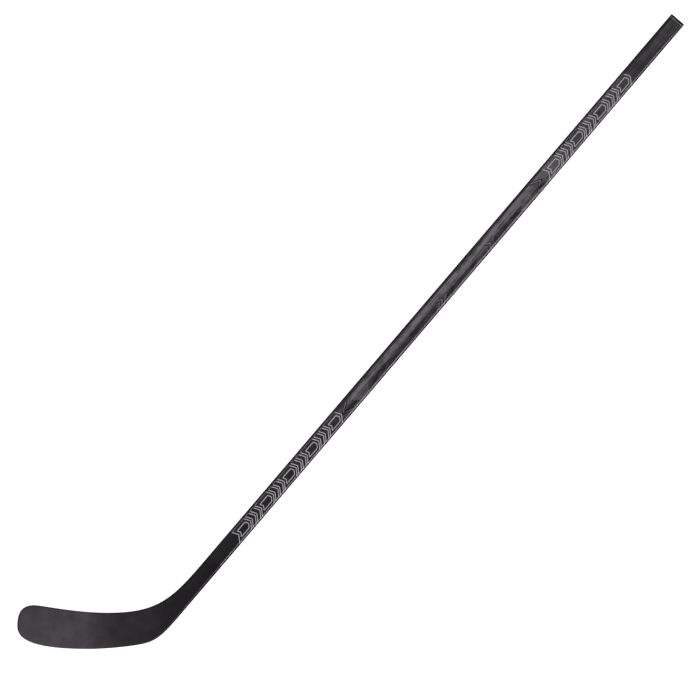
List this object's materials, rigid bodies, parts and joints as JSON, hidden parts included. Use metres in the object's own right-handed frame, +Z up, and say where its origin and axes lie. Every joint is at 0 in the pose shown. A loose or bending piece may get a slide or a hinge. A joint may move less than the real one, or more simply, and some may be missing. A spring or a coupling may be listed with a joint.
{
  "type": "ice hockey stick",
  "caption": "Right-handed ice hockey stick: hollow composite shaft with a pull-out end plug, and a curved foam-cored blade fused to it at an angle.",
  "frame": {"origin": "middle of the underside of the whole stick's box, on the surface that the stick lies on", "axes": "+X along the shaft from the blade to the butt, +Y from the shaft to the side the blade leaves on, +Z up out of the forehand face, with the stick lying on its back"},
  "size_m": [1.6612, 0.2298, 0.0456],
  "materials": {
    "shaft_lacquer": "satin black lacquer over carbon fibre",
    "blade_lacquer": "matt charcoal lacquer over carbon fibre",
    "plug_polymer": "moulded black polymer, fine grain",
    "raw_carbon": "bare carbon laminate",
    "core_foam": "closed-cell foam, cut",
    "dense_core": "glass-filled epoxy foam",
    "silver_print": "satin silver print"
  },
  "bodies": {
    "stick": {"shaft_tube": "shaft_lacquer", "tenon": "raw_carbon", "foam_stop": "core_foam", "forehand_skin": "blade_lacquer", "backhand_skin": "blade_lacquer", "heel_core": "dense_core", "upper_foam": "core_foam", "lower_foam": "core_foam", "core_rib": "raw_carbon", "toe_insert": "dense_core", "top_edge_tow": "raw_carbon", "bottom_edge_tow": "raw_carbon"},
    "plug": {"end_plug": "plug_polymer"}
  },
  "joints": [
    {"name": "plug_pull", "type": "slide", "parent": "stick", "child": "plug", "axis": [1, 0, 0], "range_m": [0, 0.05]}
  ]
}
